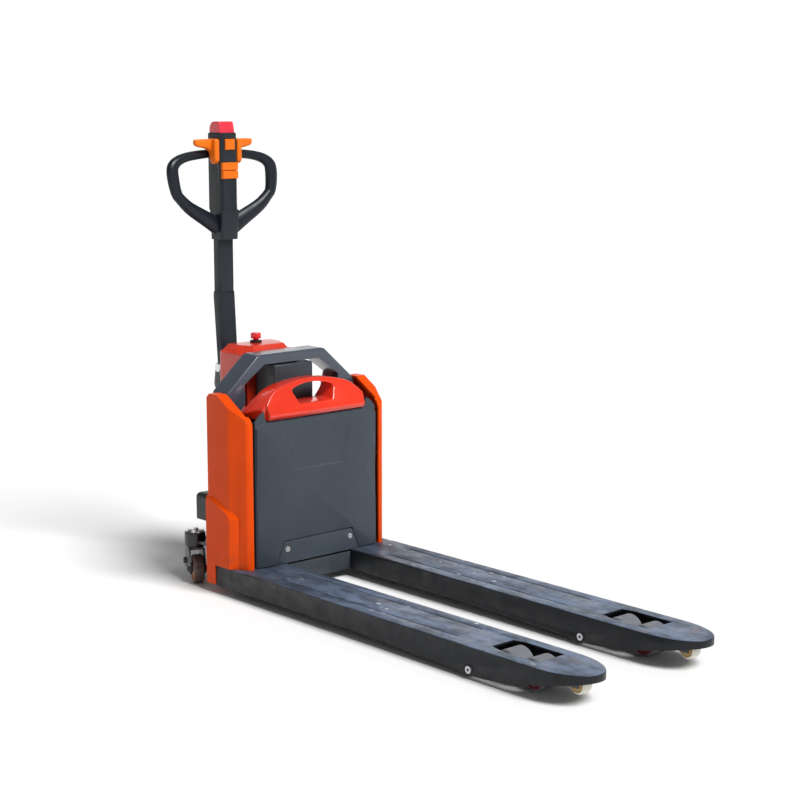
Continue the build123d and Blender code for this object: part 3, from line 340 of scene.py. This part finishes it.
def deck_tone(shade):
    """Deck paint: rubbed pale in clouds, gritty, dragged along, with a painted sky reflection, and
    darkened near the load face by a painted reflection of the dark housing.
    """
    cloud = shade.noise(22, 8, stretch=(0.45, 1, 1), rough=0.7)
    tone = shade.mix(shade.band(cloud, 0.36, 0.64), DECK_AND_SKY_SHEEN, DECK_RUBBED_AND_SKY_SHEEN)
    grit = shade.noise(260, 6, rough=0.8)
    tone = shade.mix(shade.band(grit, 0.5, 0.66, 0, 0.55), tone, darker(DECK_AND_SKY_SHEEN, 0.5))
    drag = shade.noise(40, 7, stretch=(0.16, 2.2, 1), rough=0.8)
    tone = shade.mix(shade.band(drag, 0.58, 0.74, 0, 0.6), tone, darker(DECK_AND_SKY_SHEEN, 0.45))
    # Painted reflection of the dark housing: the deck is coloured darker towards the load face.
    painted_housing_reflection = shade.band(shade.axis("X"), LOAD_FACE + 0.05, LOAD_FACE + 0.45, 0.6, 0)
    return shade.mix(painted_housing_reflection, tone, darker(DECK_AND_SKY_SHEEN, 0.45))


def chipped(shade, tone):
    """Clusters of chips down to the bare steel of the deck."""
    spots = shade.band(shade.cells(30, stretch=(0.5, 1, 1)), 0.09, 0.15, 1, 0)
    clusters = shade.band(shade.noise(7, 3), 0.5, 0.56)
    chips = shade.combine("MULTIPLY", spots, clusters)
    chips = shade.combine("MULTIPLY", chips, shade.facing_up())
    return shade.mix(chips, tone, BARE_STEEL)


def scored(shade, tone):
    """Long pale scores along the fork."""
    score = shade.noise(95, 4, stretch=(0.05, 3.5, 1), rough=0.6)
    return shade.mix(shade.band(score, 0.70, 0.77, 0, 0.5), tone, DECK_SCORE)


def rusted(shade, tone):
    """Patches of rust on the deck, at the fork tips and at the heels."""
    tips = shade.band(shade.axis("X"), LOAD_FACE + 1.0, LOAD_FACE + 1.2)
    heels = shade.band(shade.axis("X"), LOAD_FACE + 0.02, LOAD_FACE + 0.22, 0.8, 0)
    patches = shade.band(shade.noise(17, 8, rough=0.7), 0.56, 0.7)
    rust = shade.combine("MULTIPLY", shade.combine("MAXIMUM", tips, heels), patches)
    rust = shade.combine("MULTIPLY", rust, shade.facing_up())
    return shade.mix(shade.combine("MULTIPLY", rust, 0.7), tone, RUST)


def worn_fork(name):
    """Dark painted steel with a rubbed, chipped, scored and rusty deck, painted lighter and bluer
    on top as a painted sky reflection.
    """
    shade = Shade(name, specular=0.3)
    # Top faces take the deck colours: partly rubbed wear, partly a painted sky reflection that
    # makes the top lighter than the sides.
    tone = shade.mix(shade.facing_up(), FORK_SIDE, deck_tone(shade))
    shade.colour(rusted(shade, scored(shade, chipped(shade, tone))))
    shade.roughness(shade.band(shade.noise(30, 6), 0.3, 0.7, 0.34, 0.55))
    shade.bump(shade.noise(160, 6), 0.0003, 0.4)
    return shade.material


def plated(name, colour, roughness):
    """Plated or bare metal: faint mottling and turning marks."""
    shade = Shade(name, metallic=1.0)
    spots = shade.band(shade.noise(140, 5), 0.3, 0.7)
    shade.colour(shade.mix(spots, darker(colour, 0.75), colour))
    shade.roughness(shade.band(shade.noise(320, 3), 0.3, 0.7, roughness * 0.7, roughness * 1.5))
    shade.bump(shade.noise(700, 2), 0.0001, 0.3)
    return shade.material


def socket_heads(name, node):
    """Plated pin heads with a dark socket of painted shade in the middle, for pins on one cross
    axis.
    """
    low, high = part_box(node)
    radius = (high.x - low.x) / 2
    shade = Shade(name, metallic=1.0)
    centre = ((low.x + high.x) / 2, 0, (low.z + high.z) / 2)
    distance = shade.radius_from(centre, (0, 1, 0))
    # Painted shade: the middle of each head is coloured dark where the socket hole would lie in
    # shade.
    ring = shade.band(distance, radius * 0.36, radius * 0.44)
    mottled = shade.mix(shade.noise(500, 4), PIN_DULL, PIN_BRIGHT)
    shade.colour(shade.mix(ring, PIN_SOCKET_SHADE, mottled))
    shade.roughness(shade.band(shade.noise(320, 3), 0.3, 0.7, 0.25, 0.5))
    shade.bump(distance, 0.0008, 0.6)
    return shade.material


HUB_TO = 0.42
WHEEL_ROUGHNESS = 0.5


def wheel_rings(name, joint, node, rings, tread_from):
    """Wheel in three rings: tread, side of the tyre and hub, scuffed round the tread."""
    tread, face, hub = rings
    low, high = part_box(node)
    radius = (high.z - low.z) / 2
    shade = Shade(name)
    distance = shade.radius_from(JOINTS[joint]["pos_m"], JOINTS[joint]["axis"])
    outer = shade.band(distance, radius * (tread_from - 0.02), radius * (tread_from + 0.01))
    inner = shade.band(distance, radius * (HUB_TO - 0.01), radius * (HUB_TO + 0.01))
    tone = shade.mix(outer, shade.mix(inner, hub, face), tread)
    scuffs = shade.band(shade.noise(150, 7, rough=0.7), 0.5, 0.72, 0, 0.6)
    dusty = tuple(channel * 0.5 + 0.16 for channel in tread)
    shade.colour(shade.mix(scuffs, tone, dusty))
    smear = shade.noise(60, 5)
    shade.roughness(shade.band(smear, 0.3, 0.7, WHEEL_ROUGHNESS * 0.8, WHEEL_ROUGHNESS * 1.3))
    shade.bump(shade.noise(260, 6), 0.0003, 0.4)
    return shade.material


# ---------------------------------------------------------------- the truck's materials
PANEL_ORANGE = (0.7, 0.063, 0.001)
COVER_RED = (0.6, 0.032, 0.01)
HANDLE_RED = (0.66, 0.026, 0.006)
CONTROL_ORANGE = (0.76, 0.15, 0.004)
BELLY_RED = (0.66, 0.028, 0.05)
KNOB_RED = (0.6, 0.008, 0.012)
HOUSING_GREY = (0.032, 0.042, 0.055)
GUARD_GREY = (0.038, 0.052, 0.074)
MAST_GREY = (0.03, 0.038, 0.046)
FENDER_GREY = (0.02, 0.024, 0.03)
UNIT_GREY = (0.02, 0.02, 0.024)
FRAME_BLACK = (0.006, 0.0065, 0.008)
TILLER_BLACK = (0.007, 0.011, 0.017)
HEAD_BLACK = (0.007, 0.011, 0.016)
GRIP_BLACK = (0.005, 0.008, 0.013)
TRIM_BLACK = (0.006, 0.006, 0.006)
BATTERY_BLACK = (0.01, 0.01, 0.012)
ZINC_GREY = (0.85, 0.85, 0.87)
CHROME_GREY = (0.8, 0.8, 0.8)
IRON_GREY = (0.3, 0.3, 0.31)
ALLOY_GREY = (0.55, 0.55, 0.57)
PIN_DULL = (0.42, 0.42, 0.44)
PIN_BRIGHT = (0.66, 0.66, 0.68)
# Painted shade inside the pin heads' socket holes.
PIN_SOCKET_SHADE = (0.015, 0.015, 0.017)

orange_paint = painted("panel_orange", PANEL_ORANGE, 0.36, coat=0.04, specular=0.1, wear=0.1)
cover_paint = painted("cover_red", COVER_RED, 0.26, wear=0.25)
guard_paint = painted("guard_grey", GUARD_GREY, 0.3, coat=0.35, wear=0.35)
mast_paint = painted("mast_grey", MAST_GREY, 0.5, coat=0.05, specular=0.35, wear=0.3)
black_paint = painted("frame_black", FRAME_BLACK, 0.3, coat=0.25, wear=0.3)
tiller_paint = painted("tiller_paint", TILLER_BLACK, 0.4, coat=0.05, specular=0.3)
unit_paint = painted("unit_paint", UNIT_GREY, 0.4)
handle_plastic = moulded("handle_red", HANDLE_RED, 0.24, grain=700, coat=0.5)
control_plastic = moulded("control_orange", CONTROL_ORANGE, 0.4, specular=0.2)
housing_plastic = moulded("housing_grey", HOUSING_GREY, 0.5, dust=0.8, specular=0.4)
head_plastic = moulded("head_black", HEAD_BLACK, 0.4, grain=900, specular=0.35)
grip_rubber = moulded("grip_black", GRIP_BLACK, 0.38, grain=600, specular=0.3)
belly_plastic = moulded("belly_red", BELLY_RED, 0.3, coat=0.3)
knob_plastic = moulded("knob_red", KNOB_RED, 0.3, coat=0.3)
trim_plastic = moulded("trim_black", TRIM_BLACK, 0.5, specular=0.35)
fender_plastic = moulded("fender_grey", FENDER_GREY, 0.45, dust=0.8, specular=0.4)
battery_plastic = moulded("battery_black", BATTERY_BLACK, 0.5, specular=0.4)
fork_paint = worn_fork("fork_paint")
zinc = plated("zinc", ZINC_GREY, 0.36)
chrome = plated("rod_chrome", CHROME_GREY, 0.1)
iron = plated("hub_iron", IRON_GREY, 0.45)
heatsink = plated("heatsink", ALLOY_GREY, 0.4)
pin_zinc = socket_heads("pin_zinc", "fork_pins")


# ---------------------------------------------------------------- modelled pieces
def place(forward, across, height):
    """Point in millimetres: forward of the load face, across and up."""
    return Vector((LOAD_FACE + forward / 1000, across / 1000, height / 1000))


def smooth_path(points, steps):
    """Catmull-Rom curve through tuples of any length."""
    guarded = [points[0], *points, points[-1]]
    path = []
    for before, start, end, after in zip(guarded, guarded[1:], guarded[2:], guarded[3:]):
        for step in range(steps):
            t = step / steps
            weights = (
                -0.5 * t + t * t - 0.5 * t**3,
                1 - 2.5 * t * t + 1.5 * t**3,
                0.5 * t + 2 * t * t - 1.5 * t**3,
                -0.5 * t * t + 0.5 * t**3,
            )
            rows = zip(before, start, end, after)
            path.append(tuple(sum(w * v for w, v in zip(weights, row)) for row in rows))
    return [*path, points[-1]]


def skin(form, rings):
    """Joins a run of point rings into one skin with closed ends."""
    rows = [[form.verts.new(point) for point in ring] for ring in rings]
    for row, following in zip(rows, rows[1:]):
        for index, vertex in enumerate(row):
            after = (index + 1) % len(row)
            form.faces.new((vertex, row[after], following[after], following[index]))
    form.faces.new(reversed(rows[0]))
    form.faces.new(rows[-1])


def add_piece(name, form, material, body, node):
    """Turns a form into a smooth piece that stands for a CAD node."""
    bmesh.ops.recalc_face_normals(form, faces=form.faces)
    mesh = bpy.data.meshes.new(name)
    form.to_mesh(mesh)
    form.free()
    mesh.materials.append(material)
    for polygon in mesh.polygons:
        polygon.use_smooth = True
    piece = bpy.data.objects.new(name, mesh)
    bpy.context.scene.collection.objects.link(piece)
    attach(piece, body)
    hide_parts(node)


OUTLINE_STEPS = 56
EDGE_STEPS = 4


def hull_outline(circles, inset):
    """Outline round circles (x, y, radius), drawn in by an inset."""
    outline = []
    for step in range(OUTLINE_STEPS):
        angle = 2 * math.pi * step / OUTLINE_STEPS
        ux, uy = math.cos(angle), math.sin(angle)
        x, y, radius = max(circles, key=lambda c: c[0] * ux + c[1] * uy + c[2])
        reach = radius - inset
        outline.append((x + reach * ux, y + reach * uy))
    return outline


def rounded_slab(form, circles, start, end, edge):
    """Plate with round edges: a side outline carried across from start to end."""
    toward = math.copysign(1, end - start)
    near = []
    far = []
    for step in range(EDGE_STEPS + 1):
        angle = math.pi / 2 * step / EDGE_STEPS
        inset = edge * (1 - math.sin(angle))
        away = edge * (1 - math.cos(angle))
        near.append((start + toward * away, inset))
        far.append((end - toward * away, inset))
    rings = []
    for across, inset in [*near, *reversed(far)]:
        rings.append([place(x, across, z) for x, z in hull_outline(circles, inset)])
    skin(form, rings)


# Across, height and width of the bar, in millimetres, from its top end to its bottom end.
GRIP_PATH = [
    (28, 1202, 24),
    (75, 1199, 26),
    (120, 1193.5, 27),
    (152, 1184, 30),
    (172, 1169, 36),
    (177, 1150, 39),
    (175, 1120, 38),
    (169, 1092, 35),
    (158, 1077, 33),
    (125, 1048, 39),
    (69, 1016, 47),
    (42, 1001, 52),
    (28, 993, 54),
]
GRIP_DEPTH = 27
GRIP_REAR = -447.5
GRIP_REAR_AT = (31, 1199)
GRIP_SPREAD = 0.094
GRIP_LEAN = -0.1345
GRIP_STEPS = 7
GRIP_SEGMENTS = 24


def grip_centre(sign, y, z):
    """Point of the bar's middle line on the loop's leaning plane."""
    from_y, from_z = GRIP_REAR_AT
    forward = GRIP_REAR + GRIP_SPREAD * (y - from_y) + GRIP_LEAN * (z - from_z)
    return place(forward, sign * y, z)


def grip_ring(centre, along, outward, width):
    """Oval ring round the bar, square to its run."""
    across = outward.cross(along).normalized()
    ring = []
    for step in range(GRIP_SEGMENTS):
        angle = 2 * math.pi * step / GRIP_SEGMENTS
        wide = across * (width / 2000) * math.cos(angle)
        deep = outward * GRIP_DEPTH / 2000 * math.sin(angle)
        ring.append(centre + wide + deep)
    return ring


def add_grip_loop():
    """Round grip bar that swells towards its lower ends."""
    form = bmesh.new()
    for sign in SIDES.values():
        outward = Vector((1, -GRIP_SPREAD * sign, -GRIP_LEAN)).normalized()
        path = smooth_path(GRIP_PATH, GRIP_STEPS)
        centres = [grip_centre(sign, y, z) for y, z, _ in path]
        rings = []
        for index, (_, _, width) in enumerate(path):
            ahead = centres[min(index + 1, len(centres) - 1)]
            along = (ahead - centres[max(index - 1, 0)]).normalized()
            rings.append(grip_ring(centres[index], along, outward, width))
        skin(form, rings)
    add_piece("grip_loop_skin", form, grip_rubber, "tiller", "grip_loop")


# Circles that a side outline goes round: forward, height and radius in millimetres.
PADDLE = [(-411, 1188, 15), (-429, 1238, 7), (-403, 1238, 7)]
PADDLE_FROM = 31.5
PADDLE_TO = 49
PADDLE_EDGE = 5
BELLY_BUTTON = [(-450, 1255, 5), (-434, 1272, 22), (-412, 1288, 6), (-402, 1254, 4)]
BELLY_HALF = 26
BELLY_EDGE = 3.9

# Distance across, lowest, highest, rearmost and foremost of the wing's stations, in millimetres.
WING = [
    (40, 1209, 1244.6, -433, -412),
    (52, 1210, 1244.6, -434, -412),
    (62, 1216, 1244.6, -434, -413),
    (75, 1219, 1244.4, -434, -414),
    (88, 1222, 1244, -434, -415),
    (97, 1225, 1243.4, -433, -416),
    (101, 1229, 1242, -431, -418),
]
WING_STEPS = 3
WING_SEGMENTS = 28
WING_ROUNDNESS = 0.55


def squarish(value):
    """Sine or cosine pushed outwards, which turns a circle into a rounded square."""
    return math.copysign(abs(value) ** WING_ROUNDNESS, value)


def wing_ring(sign, y, low, high, back, front):
    """Squarish ring of a paddle's wing at one distance from the middle."""
    ring = []
    for step in range(WING_SEGMENTS):
        angle = 2 * math.pi * step / WING_SEGMENTS
        forward = (back + front) / 2 + (front - back) / 2 * squarish(math.cos(angle))
        height = (low + high) / 2 + (high - low) / 2 * squarish(math.sin(angle))
        ring.append(place(forward, sign * y, height))
    return ring


def add_throttles():
    """Butterfly paddles: a rounded body against the head and a flat-topped wing."""
    for side, sign in SIDES.items():
        form = bmesh.new()
        rounded_slab(form, PADDLE, sign * PADDLE_FROM, sign * PADDLE_TO, PADDLE_EDGE)
        skin(form, [wing_ring(sign, *station) for station in smooth_path(WING, WING_STEPS)])
        name = f"throttle_{side}"
        add_piece(f"{name}_skin", form, control_plastic, "throttle", name)


def add_belly_button():
    """Soft safety button with a round back and a sloping face."""
    form = bmesh.new()
    rounded_slab(form, BELLY_BUTTON, -BELLY_HALF, BELLY_HALF, BELLY_EDGE)
    add_piece("belly_button_skin", form, belly_plastic, "belly", "belly_button")


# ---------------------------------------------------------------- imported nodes
def dress(material, *names):
    """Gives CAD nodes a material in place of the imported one."""
    for name in names:
        mesh = NODES[name].data
        mesh.materials.clear()
        mesh.materials.append(material)


def both(*stems):
    return [f"{stem}_{side}" for stem in stems for side in SIDES]


def dress_pieces():
    """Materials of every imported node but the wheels."""
    dress(black_paint, "base_frame", "drive_bracket", "steering_arm", "lever_shaft", "entry_axles")
    dress(black_paint, *both("caster_yoke", "load_bracket", "bogie", "push_rod", "caster_housing"))
    dress(fork_paint, *both("fork"))
    dress(mast_paint, "chassis_frame")
    dress(orange_paint, *both("panel"))
    dress(cover_paint, "tower_cover", "tower_lid")
    dress(housing_plastic, "battery_housing", "access_cover")
    dress(guard_paint, "guard_frame")
    dress(handle_plastic, "battery_handle")
    dress(battery_plastic, "battery_case")
    dress(tiller_paint, "tiller_arm", "tiller_tube")
    dress(head_plastic, "head_shell")
    dress(grip_rubber, "grip_loop")
    dress(control_plastic, *both("throttle"), "horn_button", "raise_button", "lower_button")
    dress(belly_plastic, "belly_button")
    dress(knob_plastic, "estop_button")
    dress(trim_plastic, "estop_collar")
    dress(fender_plastic, *both("fender"))
    dress(zinc, "caster_bolts", "cover_bolts", "tiller_pin")
    dress(pin_zinc, "fork_pins")
    dress(chrome, "lift_rod")
    dress(unit_paint, "lift_cylinder", "pump_unit", "drive_motor")
    dress(heatsink, "controller")
    dress(iron, "drive_hub")


# Colours of the tread, of the tyre's side and of the hub.
CASTER_RINGS = ((0.06, 0.03, 0.024), (0.36, 0.13, 0.025), (0.32, 0.3, 0.28))
ENTRY_RINGS = ((0.72, 0.7, 0.6), (0.45, 0.3, 0.11), (0.5, 0.45, 0.3))
ROLLER_RINGS = ((0.13, 0.142, 0.16), (0.13, 0.008, 0.012), (0.3, 0.3, 0.32))
DRIVE_RINGS = ((0.02, 0.02, 0.021), (0.03, 0.03, 0.03), (0.2, 0.2, 0.2))


def dress_wheel(node, joint, name, rings, tread_from):
    """Ring-coloured material for one wheel, centred on its joint."""
    dress(wheel_rings(name, joint, node, rings, tread_from), node)


def dress_wheels():
    """Materials of the wheels and rollers."""
    for side in SIDES:
        caster = (f"caster_wheel_{side}", f"caster_roll_{side}", f"caster_tread_{side}")
        dress_wheel(*caster, CASTER_RINGS, tread_from=0.88)
        entry = (f"entry_roller_{side}", f"entry_roll_{side}", f"entry_tread_{side}")
        dress_wheel(*entry, ENTRY_RINGS, tread_from=0.8)
        for end in ("rear", "front"):
            tag = f"{side}_{end}"
            roller = (f"load_roller_{tag}", f"roll_{tag}", f"roller_tread_{tag}")
            dress_wheel(*roller, ROLLER_RINGS, tread_from=0.9)
    dress_wheel("drive_tyre", "drive_spin", "drive_tread", DRIVE_RINGS, tread_from=0.93)


WELD_DISTANCE = 0.00001
FLAT_WITHIN = 0.6


def soften(width, *names, segments=2, angle=30):
    """Rounds a CAD node's sharp edges so that they catch the light."""
    for name in names:
        node = NODES[name]
        weld = node.modifiers.new("weld", "WELD")
        weld.merge_threshold = WELD_DISTANCE
        flatten = node.modifiers.new("flatten", "DECIMATE")
        flatten.decimate_type = "DISSOLVE"
        flatten.angle_limit = math.radians(FLAT_WITHIN)
        bevel = node.modifiers.new("bevel", "BEVEL")
        bevel.width = width
        bevel.segments = segments
        bevel.limit_method = "ANGLE"
        bevel.angle_limit = math.radians(angle)
        bevel.harden_normals = True
        for polygon in node.data.polygons:
            polygon.use_smooth = True


def soften_pieces():
    """Width of each node's rounded edges, in metres."""
    soften(0.005, *both("panel"), segments=4, angle=9)
    soften(0.0045, "guard_frame", "battery_handle", segments=4)
    soften(0.003, "head_shell", segments=3)
    soften(0.0025, "tower_cover", "tower_lid", segments=3)
    soften(0.002, *both("fender"))
    soften(0.0015, *both("fork"))
    soften(0.0012, "battery_housing", "chassis_frame", "steering_arm", "tiller_arm")
    soften(0.0012, "horn_button", "raise_button", "lower_button", "estop_button")
    soften(0.0008, "tiller_tube", "base_frame", "drive_bracket", "access_cover")
    soften(0.0006, *both("caster_yoke", "caster_housing", "bogie", "load_bracket"))


add_grip_loop()
add_throttles()
add_belly_button()
dress_pieces()
dress_wheels()
soften_pieces()
add_camera()
add_studio()
